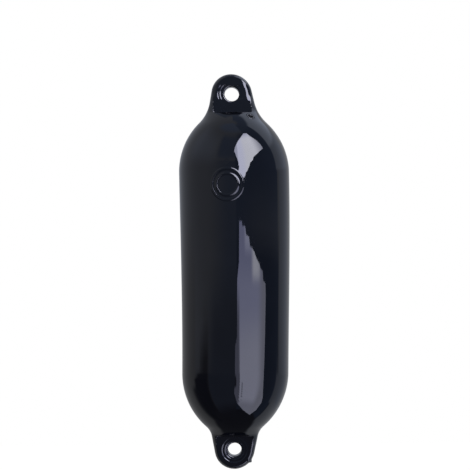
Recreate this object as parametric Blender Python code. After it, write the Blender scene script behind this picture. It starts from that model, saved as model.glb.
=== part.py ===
"""Small inflatable boat fender with a rope eye at each end.

The shell is one hollow PVC moulding: a barrel with a domed end above and below,
each dome drawn out into a neck and a flat eye. It hangs from its top eye, so the
origin is the centre of that eye's hole. +Z is up and the holes run along Y.
Lengths are in metres. A "drop" is a distance from an eye's hole centre towards
the barrel, and a "half depth" is measured along Y from the middle plane.
"""

import math

import bmesh
import bpy
from mathutils import Matrix, Vector

# Barrel
EYE_SPACING = 0.3913
BARREL_TOP_RADIUS = 0.0608
BARREL_BOTTOM_RADIUS = 0.0587
BARREL_BOW = 0.0024
BOW_LEAN = 0.25
WALL = 0.0030

# Top end
TOP_HOLE_RADIUS = 0.0080
TOP_INNER_STEP = 0.0047
TOP_OUTER_STEP = 0.0075
TOP_RIM_WIDTH = 0.0066
TOP_RIM_ROUNDING = 0.0034
TOP_POCKET_HALF_WIDTH = 0.0214
TOP_LEDGE_ROOM = 0.0051
TOP_LEDGE_HALF_DEPTH = 0.0234
TOP_DOME_RADIUS = 0.0760
TOP_NECK_FILLET = 0.0443
TOP_FLARE = math.radians(11.3)

# Bottom end
BOTTOM_HOLE_RADIUS = 0.0075
BOTTOM_INNER_STEP = 0.0030
BOTTOM_OUTER_STEP = 0.0063
BOTTOM_RIM_WIDTH = 0.0080
BOTTOM_RIM_ROUNDING = 0.0016
BOTTOM_POCKET_HALF_WIDTH = 0.0208
BOTTOM_LEDGE_ROOM = 0.0012
BOTTOM_LEDGE_HALF_DEPTH = 0.0180
BOTTOM_DOME_RADIUS = 0.0788
BOTTOM_NECK_FILLET = 0.0198
BOTTOM_FLARE = math.radians(11.2)

# Both eyes: a tongue with two shallow steps down to the hole
TONGUE_THICKNESS = 0.0190
EYE_HALF_DEPTH = 0.0180
EYE_DEPTH_FILLET = 0.0080
HOLE_LIP = 0.0014
STEP_HEIGHT = 0.0005
STEP_SLOPE = 0.0008
POCKET_SLOPE = 0.0012
POCKET_CORNER = 0.0020
LEDGE_ROUNDING = 0.0010

# Moulding nib on the edge of the bottom eye, at an angle from its right side
NIB_HEIGHT = 0.0018
NIB_WIDTH = 0.0016
NIB_ANGLE = math.radians(38)

# Valve on the right of the top dome
VALVE_BELOW_LEDGE = 0.0047
VALVE_TURN = math.radians(-52)
FLANGE_RADIUS = 0.0048
FLANGE_THICKNESS = 0.0011
SOCKET_RADIUS = 0.0036
SOCKET_LENGTH = 0.0060
PLUG_HEAD_RADIUS = 0.0026
PLUG_HEAD_THICKNESS = 0.0013
PLUG_RECESS = 0.0005
PLUG_SHANK_RADIUS = 0.0016
PLUG_SHANK_LENGTH = 0.0040
PLUG_SLOT_WIDTH = 0.0008
PLUG_SLOT_DEPTH = 0.0007
SEAT_GAP = 0.0003

# Facets
RING_POINTS = 48
RIM_SIDE_POINTS = 6
RIM_ARC_POINTS = 20
RIM_ROWS = 5
WALL_ROWS = 1
WALL_FOOT_LIMIT = 0.80
WALL_TOP_LIMIT = 0.90
WALL_LEAN_LIMIT = 0.01
LIP_ROWS = 2
FILLET_RINGS = 4
DOME_RINGS = 9
BARREL_RINGS = 5
CAVITY_POINTS = 32
VALVE_POINTS = 24
THINNEST_STEP = 0.0004


def smoothstep(value):
    value = min(max(value, 0.0), 1.0)
    return value * value * (3 - 2 * value)


def rounded_minimum(first, second, rounding):
    """The smaller of two heights, with the edge where they cross rounded off."""
    near = max(rounding - abs(first - second), 0.0) / rounding
    return min(first, second) - near * near * rounding / 4


def bowed(across, along, up):
    """A point of the shell, moved aside by the slight bow that the moulding took as it cooled."""
    share = -up / EYE_SPACING
    lean = 1 + BOW_LEAN * (1 - 2 * share)
    return Vector((across + BARREL_BOW * 4 * share * (1 - share) * lean, along, up))


class Outline:
    """Half outline of one end: a straight neck that flares, a hollow fillet, then a dome.

    The neck's line touches a circle around the hole centre, the fillet touches that
    line and the dome, and the dome runs into the barrel at the shoulder.
    """

    def __init__(self, radius, flare, fillet, dome, barrel, shoulder):
        self.radius = radius
        self.flare = flare
        self.fillet = fillet
        self.dome = dome
        self.barrel = barrel
        self.shoulder = shoulder
        self.dome_centre = Vector((shoulder, barrel - dome))
        along = Vector((math.cos(flare), math.sin(flare)))
        outward = Vector((-math.sin(flare), math.cos(flare)))
        start = (radius + fillet) * outward
        from_dome = start - self.dome_centre
        middle = from_dome.dot(along)
        rest = from_dome.length_squared - (dome + fillet) ** 2
        self.fillet_centre = start - (middle + math.sqrt(middle * middle - rest)) * along
        self.fillet_start = (self.fillet_centre - fillet * outward).x
        to_fillet = (self.fillet_centre - self.dome_centre).normalized()
        self.fillet_end = (self.dome_centre + dome * to_fillet).x
        self.rim_end = -radius * math.sin(flare)

    def half(self, drop):
        if drop < self.fillet_start:
            return (self.radius + drop * math.sin(self.flare)) / math.cos(self.flare)
        if drop < self.fillet_end:
            aside = drop - self.fillet_centre.x
            return self.fillet_centre.y - math.sqrt(self.fillet**2 - aside**2)
        if drop < self.shoulder:
            aside = drop - self.shoulder
            return self.dome_centre.y + math.sqrt(self.dome**2 - aside**2)
        return self.barrel


class End:
    """One end of the shell, from its eye to the shoulder where the barrel starts."""

    def __init__(self, height, upward, eye, ledge, outline, barrel):
        self.height = height
        self.upward = upward
        self.hole, inner_step, outer_step, rim_width, self.rim_rounding, self.pocket = eye
        self.steps = (inner_step, outer_step)
        self.steps_end = self.hole + outer_step + STEP_SLOPE / 2
        ledge_room, ledge_depth = ledge
        dome, fillet, flare = outline
        self.ledge = self.steps_end + ledge_room
        self.eye = self.steps_end + rim_width
        self.slope = math.acos(1 - (barrel - ledge_depth) / dome)
        self.shoulder = self.ledge + dome * math.sin(self.slope)
        self.dome = dome
        self.barrel = barrel
        self.width = Outline(self.eye, flare, fillet, dome, barrel, self.shoulder)
        self.depth = Outline(EYE_HALF_DEPTH, 0.0, EYE_DEPTH_FILLET, dome, barrel, self.shoulder)

    def place(self, across, along, drop):
        return bowed(across, along, self.height - self.upward * drop)

    def eye_reach(self, angle):
        """Radius of the eye's edge, with the nib on the bottom one."""
        if self.upward > 0:
            return self.eye
        away = (angle - NIB_ANGLE) * self.eye / NIB_WIDTH
        return self.eye + NIB_HEIGHT * math.exp(-away * away)

    def envelope(self, across, drop):
        """Half depth of the neck and eye before the tongue's two faces are let in."""
        if drop > self.width.rim_end:
            share = abs(across) / self.width.half(drop)
            full = self.depth.half(drop)
        else:
            share = math.hypot(across, drop) / self.eye_reach(math.atan2(-drop, across))
            full = EYE_HALF_DEPTH
        return full * math.sqrt(max(1 - share * share, 0.0))

    def tongue_face(self, across, drop):
        """Half depth of the tongue's face, which steps down twice towards the hole."""
        radius = math.hypot(across, drop)
        half = TONGUE_THICKNESS / 2
        for step in self.steps:
            outside = (radius - self.hole - step) / STEP_SLOPE + 0.5
            half -= STEP_HEIGHT * (1 - smoothstep(outside))
        into_lip = min(HOLE_LIP - (radius - self.hole), HOLE_LIP)
        if into_lip > 0:
            half -= HOLE_LIP - math.sqrt(HOLE_LIP**2 - into_lip**2)
        beyond = smoothstep((abs(across) - self.pocket_wall(drop)) / POCKET_SLOPE + 0.5)
        return half + (self.depth.half(self.ledge) - half) * beyond

    def pocket_wall(self, drop):
        """Where the pocket's side wall stands, with the corner rounded where it meets the ledge."""
        into_corner = min(max(POCKET_CORNER - (self.ledge - drop), 0.0), POCKET_CORNER)
        return self.pocket - POCKET_CORNER + math.sqrt(POCKET_CORNER**2 - into_corner**2)

    def half_depth(self, across, drop):
        envelope = self.envelope(across, drop)
        return rounded_minimum(envelope, self.tongue_face(across, drop), self.rim_rounding)

    def wall_radii(self, angle, start, reach):
        """Where a ray from the hole's centre meets the foot and the top of the pocket's wall."""
        lean = max(abs(math.cos(angle)), WALL_LEAN_LIMIT)
        foot = (self.pocket - POCKET_SLOPE / 2) / lean
        top = (self.pocket + POCKET_SLOPE / 2) / lean
        room = reach - start
        return min(foot, start + WALL_FOOT_LIMIT * room), min(top, start + WALL_TOP_LIMIT * room)

    def step_radii(self):
        """Radii of the rows round the hole: the lip, then both steps."""
        radii = []
        for row in range(LIP_ROWS + 1):
            turn = math.pi / 2 * row / LIP_ROWS
            radii.append(self.hole + HOLE_LIP * (1 - math.cos(turn)))
        for step in self.steps:
            for side in (-0.5, 0.0, 0.5):
                radii.append(self.hole + step + side * STEP_SLOPE)
        return radii

    def ring_drops(self):
        """Drops of the rings between the ledge and the shoulder."""
        fillet_end = max(self.width.fillet_end, self.ledge + LEDGE_ROUNDING)
        drops = []
        start = self.ledge + LEDGE_ROUNDING
        for ring in range(FILLET_RINGS):
            drops.append(start + (fillet_end - start) * ring / FILLET_RINGS)
        slope = math.asin((self.shoulder - fillet_end) / self.dome)
        for ring in range(DOME_RINGS + 1):
            drops.append(self.shoulder - self.dome * math.sin(slope * (1 - ring / DOME_RINGS)))
        return drops


def shell_ends():
    top = End(
        0.0, 1,
        eye=(
            TOP_HOLE_RADIUS, TOP_INNER_STEP, TOP_OUTER_STEP,
            TOP_RIM_WIDTH, TOP_RIM_ROUNDING, TOP_POCKET_HALF_WIDTH,
        ),
        ledge=(TOP_LEDGE_ROOM, TOP_LEDGE_HALF_DEPTH),
        outline=(TOP_DOME_RADIUS, TOP_NECK_FILLET, TOP_FLARE), barrel=BARREL_TOP_RADIUS,
    )
    bottom = End(
        -EYE_SPACING, -1,
        eye=(
            BOTTOM_HOLE_RADIUS, BOTTOM_INNER_STEP, BOTTOM_OUTER_STEP,
            BOTTOM_RIM_WIDTH, BOTTOM_RIM_ROUNDING, BOTTOM_POCKET_HALF_WIDTH,
        ),
        ledge=(BOTTOM_LEDGE_ROOM, BOTTOM_LEDGE_HALF_DEPTH),
        outline=(BOTTOM_DOME_RADIUS, BOTTOM_NECK_FILLET, BOTTOM_FLARE), barrel=BARREL_BOTTOM_RADIUS,
    )
    return top, bottom


def ring_angles(count):
    return [2 * math.pi * point / count for point in range(count)]


def oval_ring(mesh, end, drop):
    wide = end.width.half(drop)
    deep = end.depth.half(drop)
    return [
        mesh.verts.new(end.place(wide * math.cos(angle), deep * math.sin(angle), drop))
        for angle in ring_angles(RING_POINTS)
    ]


def barrel_radius(share):
    """The barrel narrows slightly from its top shoulder to its bottom one."""
    return BARREL_TOP_RADIUS + (BARREL_BOTTOM_RADIUS - BARREL_TOP_RADIUS) * smoothstep(share)


def round_ring(mesh, radius, up, points):
    return [
        mesh.verts.new(bowed(radius * math.cos(angle), radius * math.sin(angle), up))
        for angle in ring_angles(points)
    ]


def join_rows(mesh, first, second, closed=True):
    """Faces between two rows of points. Where both rows share a point, a face loses a corner."""
    count = len(first)
    for index in range(count if closed else count - 1):
        after = (index + 1) % count
        corners = []
        for vert in (first[index], second[index], second[after], first[after]):
            if vert not in corners:
                corners.append(vert)
        if len(corners) > 2:
            mesh.faces.new(corners)


def ledge_rings(mesh, end):
    """The rounded top of the ledge, and the row at its foot where it meets the tongue.

    At the sides the neck runs on beside the pocket with no step, and the rows share
    their points there.
    """
    wide = end.width.half(end.ledge)
    deep = end.depth.half(end.ledge)
    brow = []
    edge = []
    foot = []
    for angle in ring_angles(RING_POINTS):
        side = math.copysign(1.0, math.sin(angle))
        across = wide * math.cos(angle)
        outer = deep * abs(math.sin(angle))
        inner = end.half_depth(across, end.ledge)
        step = outer - inner
        rounding = min(LEDGE_ROUNDING, step / 2)
        halfway = rounding * (1 - math.sqrt(0.5))
        drop = end.ledge + halfway
        wider = end.width.half(drop) * math.cos(angle)
        deeper = end.depth.half(drop) * abs(math.sin(angle)) - halfway
        foot.append(mesh.verts.new(end.place(across, side * inner, end.ledge)))
        if step > THINNEST_STEP:
            brow.append(mesh.verts.new(end.place(wider, side * deeper, drop)))
            edge.append(mesh.verts.new(end.place(across, side * (outer - rounding), end.ledge)))
        else:
            brow.append(foot[-1])
            edge.append(foot[-1])
    return brow, edge, foot


def rim_outline(end):
    """Points of the eye's edge, from the right end of the ledge round to the left one."""
    side = []
    for point in range(1, RIM_SIDE_POINTS):
        drop = end.ledge + (end.width.rim_end - end.ledge) * point / RIM_SIDE_POINTS
        side.append((end.width.half(drop), drop))
    arc = []
    for point in range(RIM_ARC_POINTS + 1):
        angle = end.width.flare + (math.pi - 2 * end.width.flare) * point / RIM_ARC_POINTS
        reach = end.eye_reach(angle)
        arc.append((reach * math.cos(angle), -reach * math.sin(angle)))
    other_side = [(-across, drop) for across, drop in reversed(side)]
    return side + arc + other_side


def eye_face(mesh, end, facing, boundary):
    """One face of an eye, in rows from the hole's edge out to the boundary points."""
    rays = []
    for across, drop, vert in boundary:
        angle = math.atan2(-drop, across)
        reach = math.hypot(across, drop)
        radii = end.step_radii()
        start = radii[-1]
        foot, top = end.wall_radii(angle, start, reach)
        for row in range(1, RIM_ROWS + 1):
            radii.append(start + (foot - start) * math.sin(math.pi / 2 * row / RIM_ROWS))
        for row in range(1, WALL_ROWS + 1):
            radii.append(foot + (top - foot) * row / WALL_ROWS)
        ray = []
        for radius in radii:
            x = radius * math.cos(angle)
            y = -radius * math.sin(angle)
            ray.append(mesh.verts.new(end.place(x, facing * end.half_depth(x, y), y)))
        ray.append(vert)
        rays.append(ray)
    for index, ray in enumerate(rays):
        join_rows(mesh, ray, rays[(index + 1) % len(rays)], closed=False)
    return [ray[0] for ray in rays]


def eye(mesh, end, foot):
    """Both faces of an eye and the hole between them, above the ledge's foot."""
    half = RING_POINTS // 2
    wide = end.width.half(end.ledge)
    rim = []
    for across, drop in rim_outline(end):
        rim.append((across, drop, mesh.verts.new(end.place(across, 0.0, drop))))
    angles = ring_angles(RING_POINTS)
    ledge = [(wide * math.cos(angle), end.ledge, foot[i]) for i, angle in enumerate(angles)]
    front = [ledge[0]] + rim + ledge[half:]
    back = [ledge[0]] + rim + ledge[half:0:-1]
    join_rows(mesh, eye_face(mesh, end, -1, front), eye_face(mesh, end, 1, back))


def object_from(mesh, name, smooth_angle=math.radians(35)):
    """A scene object from a bmesh, with its faces turned outward."""
    bmesh.ops.recalc_face_normals(mesh, faces=mesh.faces)
    data = bpy.data.meshes.new(name)
    mesh.to_mesh(data)
    mesh.free()
    data.shade_smooth()
    data.set_sharp_from_angle(angle=smooth_angle)
    made = bpy.data.objects.new(name, data)
    bpy.context.collection.objects.link(made)
    return made


def shell_skin(top, bottom):
    """The shell's outer surface, from the tip of one eye to the tip of the other."""
    mesh = bmesh.new()
    rows = []
    for end in (top, bottom):
        brow, edge, foot = ledge_rings(mesh, end)
        eye(mesh, end, foot)
        join_rows(mesh, foot, edge)
        rings = [edge, brow] + [oval_ring(mesh, end, drop) for drop in end.ring_drops()]
        rows.append(rings)
    start = -top.shoulder
    finish = bottom.height + bottom.shoulder
    barrel = []
    for ring in range(1, BARREL_RINGS):
        share = ring / BARREL_RINGS
        up = start + (finish - start) * share
        barrel.append(round_ring(mesh, barrel_radius(share), up, RING_POINTS))
    rings = rows[0] + barrel + rows[1][::-1]
    for first, second in zip(rings, rings[1:]):
        join_rows(mesh, first, second)
    return object_from(mesh, "fender_shell")


def air_space(top, bottom):
    """A cutter for the hollow inside the barrel and both domes."""
    mesh = bmesh.new()
    sections = []
    for end in (top, bottom):
        inner = end.dome - WALL
        start = end.ledge + WALL
        slope = math.asin((end.shoulder - start) / inner)
        column = []
        for ring in range(DOME_RINGS + 1):
            turn = slope * (1 - ring / DOME_RINGS)
            radius = end.barrel - end.dome + inner * math.cos(turn)
            drop = end.shoulder - inner * math.sin(turn)
            column.append((radius, end.height - end.upward * drop))
        sections.append(column)
    start = sections[0][-1][1]
    finish = sections[1][-1][1]
    barrel = []
    for ring in range(1, BARREL_RINGS):
        share = ring / BARREL_RINGS
        barrel.append((barrel_radius(share) - WALL, start + (finish - start) * share))
    column = sections[0] + barrel + sections[1][::-1]
    rings = [round_ring(mesh, radius, up, CAVITY_POINTS) for radius, up in column]
    for first, second in zip(rings, rings[1:]):
        join_rows(mesh, first, second)
    mesh.faces.new(rings[0])
    mesh.faces.new(rings[-1])
    return object_from(mesh, "air_space_cutter")


def turned(name, profile):
    """A body turned about Z from a closed profile of radius and height."""
    mesh = bmesh.new()
    verts = [mesh.verts.new((radius, 0.0, up)) for radius, up in profile]
    edges = [mesh.edges.new((verts[i - 1], verts[i])) for i in range(len(verts))]
    bmesh.ops.spin(
        mesh, geom=verts + edges, cent=(0, 0, 0), axis=(0, 0, 1),
        angle=2 * math.pi, steps=VALVE_POINTS, use_merge=True,
    )
    bmesh.ops.remove_doubles(mesh, verts=mesh.verts, dist=0.000001)
    return object_from(mesh, name)


def valve_frame(end):
    """The frame of the valve: on the dome, with Z straight out of its surface."""
    drop = end.ledge + VALVE_BELOW_LEDGE

    def on_shell(turn, down):
        wide = end.width.half(down) * math.cos(turn)
        return end.place(wide, end.depth.half(down) * math.sin(turn), down)

    nudge = 0.001
    centre = on_shell(VALVE_TURN, drop)
    around = on_shell(VALVE_TURN + nudge, drop) - centre
    down = on_shell(VALVE_TURN, drop + nudge) - centre
    outward = down.cross(around).normalized()
    level = Vector((0, 0, 1)).cross(outward).normalized()
    upward = outward.cross(level)
    turn = Matrix((level, upward, outward)).transposed().to_4x4()
    return Matrix.Translation(centre) @ turn


def valve_pocket():
    """A cutter for the flange's shallow seat and the hole through the wall."""
    seat = FLANGE_RADIUS + SEAT_GAP
    hole = SOCKET_RADIUS + SEAT_GAP
    floor = -FLANGE_THICKNESS - SEAT_GAP
    end = -FLANGE_THICKNESS - SOCKET_LENGTH - SEAT_GAP
    clear = FLANGE_THICKNESS
    profile = [(0, clear), (seat, clear), (seat, floor), (hole, floor), (hole, end), (0, end)]
    return turned("valve_pocket_cutter", profile)


def valve_seat():
    """A flanged bush, counterbored for the plug's head."""
    head = PLUG_HEAD_RADIUS + SEAT_GAP
    bore = PLUG_SHANK_RADIUS + SEAT_GAP
    shelf = -PLUG_RECESS - PLUG_HEAD_THICKNESS - SEAT_GAP
    end = -FLANGE_THICKNESS - SOCKET_LENGTH
    chamfer = FLANGE_THICKNESS / 3
    profile = [
        (head, 0), (FLANGE_RADIUS - chamfer, 0), (FLANGE_RADIUS, -chamfer),
        (FLANGE_RADIUS, -FLANGE_THICKNESS), (SOCKET_RADIUS, -FLANGE_THICKNESS),
        (SOCKET_RADIUS, end), (bore, end), (bore, shelf), (head, shelf),
    ]
    return turned("valve_seat", profile)


def valve_plug():
    """A screw plug with a slotted head that sits just below the flange."""
    top = -PLUG_RECESS
    under = top - PLUG_HEAD_THICKNESS
    end = under - PLUG_SHANK_LENGTH
    chamfer = PLUG_SHANK_RADIUS / 4
    profile = [
        (0, top), (PLUG_HEAD_RADIUS, top), (PLUG_HEAD_RADIUS, under), (PLUG_SHANK_RADIUS, under),
        (PLUG_SHANK_RADIUS, end + chamfer), (PLUG_SHANK_RADIUS - chamfer, end), (0, end),
    ]
    plug = turned("valve_plug", profile)
    mesh = bmesh.new()
    bmesh.ops.create_cube(mesh, size=1.0)
    size = (3 * PLUG_HEAD_RADIUS, PLUG_SLOT_WIDTH, 2 * PLUG_SLOT_DEPTH)
    bmesh.ops.scale(mesh, vec=size, verts=mesh.verts)
    bmesh.ops.translate(mesh, vec=(0, 0, top), verts=mesh.verts)
    slot = object_from(mesh, "plug_slot_cutter")
    slot.parent = plug
    cut(plug, slot)
    return plug


def cut(body, cutter):
    """Take one object out of another and keep the cutter as a guide."""
    modifier = body.modifiers.new(cutter.name, "BOOLEAN")
    modifier.operation = "DIFFERENCE"
    modifier.solver = "EXACT"
    modifier.object = cutter
    cutter.hide_render = True
    cutter.display_type = "WIRE"


def plastic(name, colour, roughness):
    """A plain coloured plastic."""
    material = bpy.data.materials.new(name)
    material.use_nodes = True
    shader = material.node_tree.nodes["Principled BSDF"]
    shader.inputs["Base Color"].default_value = (*colour, 1.0)
    shader.inputs["Roughness"].default_value = roughness
    shader.inputs["Metallic"].default_value = 0.0
    return material


def build():
    for item in list(bpy.data.objects):
        bpy.data.objects.remove(item, do_unlink=True)
    top, bottom = shell_ends()
    shell = shell_skin(top, bottom)
    cut(shell, air_space(top, bottom))
    pocket = valve_pocket()
    cut(shell, pocket)
    seat = valve_seat()
    plug = valve_plug()
    frame = valve_frame(top)
    for item in (pocket, seat, plug):
        item.matrix_world = frame
    shell.data.materials.append(plastic("navy_vinyl", (0.008, 0.009, 0.018), 0.12))
    seat.data.materials.append(plastic("dark_valve_seat", (0.030, 0.030, 0.036), 0.35))
    plug.data.materials.append(plastic("black_valve_plug", (0.012, 0.012, 0.014), 0.45))


build()
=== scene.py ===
"""Looks of the small boat fender: a glossy navy moulding with an eye at each end.

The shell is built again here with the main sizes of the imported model, on a much
finer mesh. It adds the raised rings, and finer steps, bevels and rims on the eyes.
Lengths are in metres. A "drop" is a distance from an eye's hole centre towards the
barrel.
"""
import math

import bmesh
import bpy
from mathutils import Matrix, Vector
from mathutils.bvhtree import BVHTree


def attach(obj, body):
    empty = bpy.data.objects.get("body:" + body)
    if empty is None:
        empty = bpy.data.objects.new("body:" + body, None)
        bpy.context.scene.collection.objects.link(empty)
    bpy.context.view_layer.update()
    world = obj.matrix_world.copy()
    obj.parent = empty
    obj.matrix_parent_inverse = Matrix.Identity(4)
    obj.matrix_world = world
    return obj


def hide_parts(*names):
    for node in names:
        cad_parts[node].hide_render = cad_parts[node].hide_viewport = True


# Barrel
EYE_SPACING = 0.3913
BARREL_TOP_RADIUS = 0.0608
BARREL_BOTTOM_RADIUS = 0.0587
BARREL_BOW = 0.0024
BOW_LEAN = 0.25

# Both ends. A step is its distance beyond the hole's edge, and room is left before the ledge.
TOP_HOLE_RADIUS = 0.0080
TOP_INNER_STEP = 0.0047
TOP_OUTER_STEP = 0.0075
TOP_RIM_WIDTH = 0.0066
TOP_POCKET_HALF_WIDTH = 0.0214
TOP_LEDGE_ROOM = 0.0051
TOP_LEDGE_HALF_DEPTH = 0.0234
TOP_DOME_RADIUS = 0.0760
TOP_NECK_FILLET = 0.0443
TOP_FLARE = math.radians(11.3)
BOTTOM_HOLE_RADIUS = 0.0075
BOTTOM_INNER_STEP = 0.0030
BOTTOM_OUTER_STEP = 0.0063
BOTTOM_RIM_WIDTH = 0.0080
BOTTOM_POCKET_HALF_WIDTH = 0.0208
BOTTOM_LEDGE_ROOM = 0.0012
BOTTOM_LEDGE_HALF_DEPTH = 0.0180
BOTTOM_DOME_RADIUS = 0.0788
BOTTOM_NECK_FILLET = 0.0198
BOTTOM_FLARE = math.radians(11.2)

# Eyes
TONGUE_THICKNESS = 0.0190
EYE_HALF_DEPTH = 0.0180
EYE_DEPTH_FILLET = 0.0080
HOLE_LIP = 0.0014
STEP_HEIGHT = 0.0002
STEP_RUN = 0.0013
OUTER_STEP_MARGIN = 0.0004
POCKET_SLOPE = 0.0012
POCKET_CORNER = 0.0020
LEDGE_ROUNDING = 0.0005
LEDGE_FILLET = 0.0008
LEDGE_FILLET_PARTS = 3
CHAMFER_SLOPE = 0.85
EDGE_ROUNDING = 0.0006
SIDE_BEVEL_START = 0.0156
SIDE_BEVEL_LEAN = 0.23
SIDE_BEVEL_SLOPE = 0.16

# Changes down the eyes, as pairs of drop and value: how full the steps and the gentle side
# bevel are, the rounding of the rim, and the half depth at the foot of the steep bevel
TOP_STEPS_FULL = [(-0.0110, 0.15), (-0.0080, 1.0), (0.0043, 1.0), (0.0067, 0.0)]
TOP_SIDE_BEVEL_FULL = [(0.0052, 1.0), (0.0095, 0.0)]
TOP_RIM_ROUNDINGS = [(-0.0180, 0.0001), (-0.0125, 0.0005), (0.0060, 0.0005), (0.0120, 0.0012)]
TOP_BEVEL_FOOT = [(-0.0170, 0.0080), (-0.0060, 0.0054), (0.0010, 0.0054), (0.0090, 0.0240)]
BOTTOM_STEPS_FULL = [(0.0040, 1.0), (0.0080, 0.2)]
BOTTOM_RIM_ROUNDINGS = [(-0.0140, 0.0002), (-0.0100, 0.0012)]

# Nib left by the mould on the bottom eye
NIB_HEIGHT = 0.0018
NIB_WIDTH = 0.0016
NIB_ANGLE = math.radians(38)

# Valve
VALVE_BELOW_LEDGE = 0.0047
VALVE_TURN = math.radians(-52)
FLANGE_RADIUS = 0.0048
FLANGE_THICKNESS = 0.0011
SOCKET_RADIUS = 0.0036
SOCKET_LENGTH = 0.0060
PLUG_HEAD_RADIUS = 0.0026
PLUG_HEAD_THICKNESS = 0.0013
PLUG_RECESS = 0.0008
PLUG_SHANK_RADIUS = 0.0016
PLUG_SHANK_LENGTH = 0.0040
PLUG_SLOT_WIDTH = 0.0008
PLUG_SLOT_DEPTH = 0.0007
SEAT_GAP = 0.0003

# Raised marks on the front of the barrel: radius, width and height of each ring. A higher
# fullness gives a flatter top and steeper sides.
MARK_COLUMN = 175
RING_FULLNESS = 6
LARGE_MARK_HEIGHT = -0.1006
LARGE_MARK_RINGS = [(0.0170, 0.0028, 0.00030), (0.0116, 0.0020, 0.00022)]
LARGE_MARK_CELLS = 24
SMALL_MARK_HEIGHT = -0.0760
SMALL_MARK_RINGS = [(0.0034, 0.0020, 0.00003)]
SMALL_MARK_CELLS = 6

# Mesh: how many rows and points each part has, their spacing, and limits where they crowd
COLUMNS = 240
CELL = 2 * math.pi * BARREL_TOP_RADIUS / COLUMNS
RIM_SIDE_POINTS = 12
RIM_ARC_POINTS = 100
RIM_ROWS = 12
WALL_ROWS = 5
OUTSIDE_ROWS = 5
WALL_FOOT_LIMIT = 0.75
WALL_TOP_LIMIT = 0.85
WALL_LEAN_LIMIT = 0.01
LIP_ROWS = 5
STEP_ROWS = 6
SUPPORT_GAP = 0.0001
LEDGE_ROWS = 5
NECK_STEP = 0.0007
NECK_STEP_GROWTH = 1.03
NECK_LAST_STEPS = 1.5
BARREL_STEP = 0.0040
RIDGE_ROWS = 14
MARK_MARGIN_SHARE = 0.5
VALVE_POINTS = 72
CORNER_POINTS = 4
SHARP_ANGLE = math.radians(40)
SHELL_MERGE_DISTANCE = 0.00002
VALVE_MERGE_DISTANCE = 0.000001
SKIN_NUDGE = 0.0005
VALVE_NUDGE = 0.001

# Finishes: two colours that a noise mixes, and the lowest and highest roughness
VINYL_COLOURS = ((0.0068, 0.0076, 0.0155), (0.0092, 0.0104, 0.0205))
VINYL_ROUGHNESS = (0.012, 0.022)
VINYL_IOR = 1.5
VINYL_WAVE_HEIGHT = 0.000008
VINYL_PEEL_HEIGHT = 0.0000006
SEAT_COLOURS = ((0.044, 0.044, 0.052), (0.062, 0.062, 0.072))
SEAT_ROUGHNESS = (0.30, 0.42)
SEAT_SHINE = 0.5
PLUG_COLOURS = ((0.003, 0.003, 0.004), (0.006, 0.006, 0.007))
PLUG_ROUGHNESS = (0.42, 0.55)
PLUG_SHINE = 0.1
PLASTIC_GRAIN_HEIGHT = 0.00002

# Camera
PHOTO_SIZE = 470
VIEW_WIDTH = 0.5194
CAMERA_PLACE = Vector((0.00232, -1.85, -0.1552))
CAMERA_ROLL = math.radians(0.49)

# Outlines of the two panels, as the photo shows them in the skin, in its pixels
UPPER_PANEL_SEEN = [
    (243.4, 133.5), (246.6, 133.3), (250, 136.2), (256, 140), (260.5, 144.5), (262.9, 148.2),
    (259, 151.7), (256.8, 154), (253.4, 156.8), (252.9, 160), (250.2, 162.6), (249.2, 166.5),
    (247.5, 170), (245.8, 172), (244.6, 175.3), (243.4, 175.9), (240, 170.8), (238.8, 166),
    (238.2, 161.5), (236, 155.5), (234.2, 151), (235, 147), (238, 141), (240, 138.2),
]
LOWER_PANEL_SEEN = [
    (239.2, 221), (241.8, 221), (242.2, 225.3), (245, 225.6), (246.2, 235), (249, 236.5),
    (250, 246.3), (252.3, 247.5), (254.3, 251.5), (256.5, 259), (259.5, 264), (260.3, 268.3),
    (262.7, 271), (263.1, 280.5), (265.4, 283), (265.7, 295), (264.9, 340), (264.2, 365),
    (262.5, 398), (261.5, 402.5), (256, 410), (249.5, 414.8), (243, 410), (237, 403),
    (234.2, 393), (235, 378), (235.2, 345), (237, 338), (237.2, 280), (239, 262),
]
PANEL_EDGE_PARTS = 4
PANEL_RINGS = 36

# Studio: distances from its centre, the share of a patch's blueness that its green takes, the
# level of the world's light on matt surfaces, and the floor
STUDIO_CENTRE = Vector((0.0, 0.0, -0.20))
PANEL_DISTANCE = 4.6
PANEL_GREEN = 0.08
SURROUND_DISTANCE = 5.0
SURROUND_GREEN = 0.30
SURROUND_STEP = 1.0
WORLD_LEVEL = 0.24
FLOOR_HEIGHT = -5.4
FLOOR_REACH = 40.0
FLOOR_GREY = 0.8
FLOOR_SHADOW_GREY = 0.12

# Light: azimuths, elevations, softness of each, level, and blueness. Directions are in degrees,
# seen from the studio's centre, with 0, 0 towards the camera. Each patch lies over those before it.
UPPER_PANEL_LIGHT = [
    ((-90, 180), (-90, 90), (1, 1), 7.0, 1.35),
    ((9, 180), (-10, 59), (4, 12), 10.5, 1.32),
    ((24, 180), (-10, 59), (16, 12), 10.8, 1.15),
    ((64, 180), (-10, 90), (30, 1), 4.2, 1.3),
]
LOWER_PANEL_LIGHT = [
    ((-90, 180), (-90, 20), (1, 1), 3.6, 1.34),
    ((-90, 180), (-5.2, 20), (1, 2), 2.9, 1.56),
    ((-90, 180), (-2.9, 20), (1, 2), 2.4, 1.68),
    ((20, 50), (-1.6, 3), (6, 1), 3.8, 1.45),
    ((36, 54), (-3.1, -1.0), (8, 1), 5.2, 1.2),
    ((-90, 180), (-90, -46), (1, 16), 2.4, 1.35),
    ((54, 180), (-90, 20), (18, 1), 2.2, 1.3),
    ((-90, 8), (-90, -4), (4, 2), 1.0, 1.45),
    ((7, 9.5), (-46, -6), (1, 2), 0.8, 1.4),
    ((14, 16), (-44, -16), (1, 2), 1.4, 1.4),
    ((-90, 2.2), (-21, -7.6), (1, 1), 0.12, 1.4),
]
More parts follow.
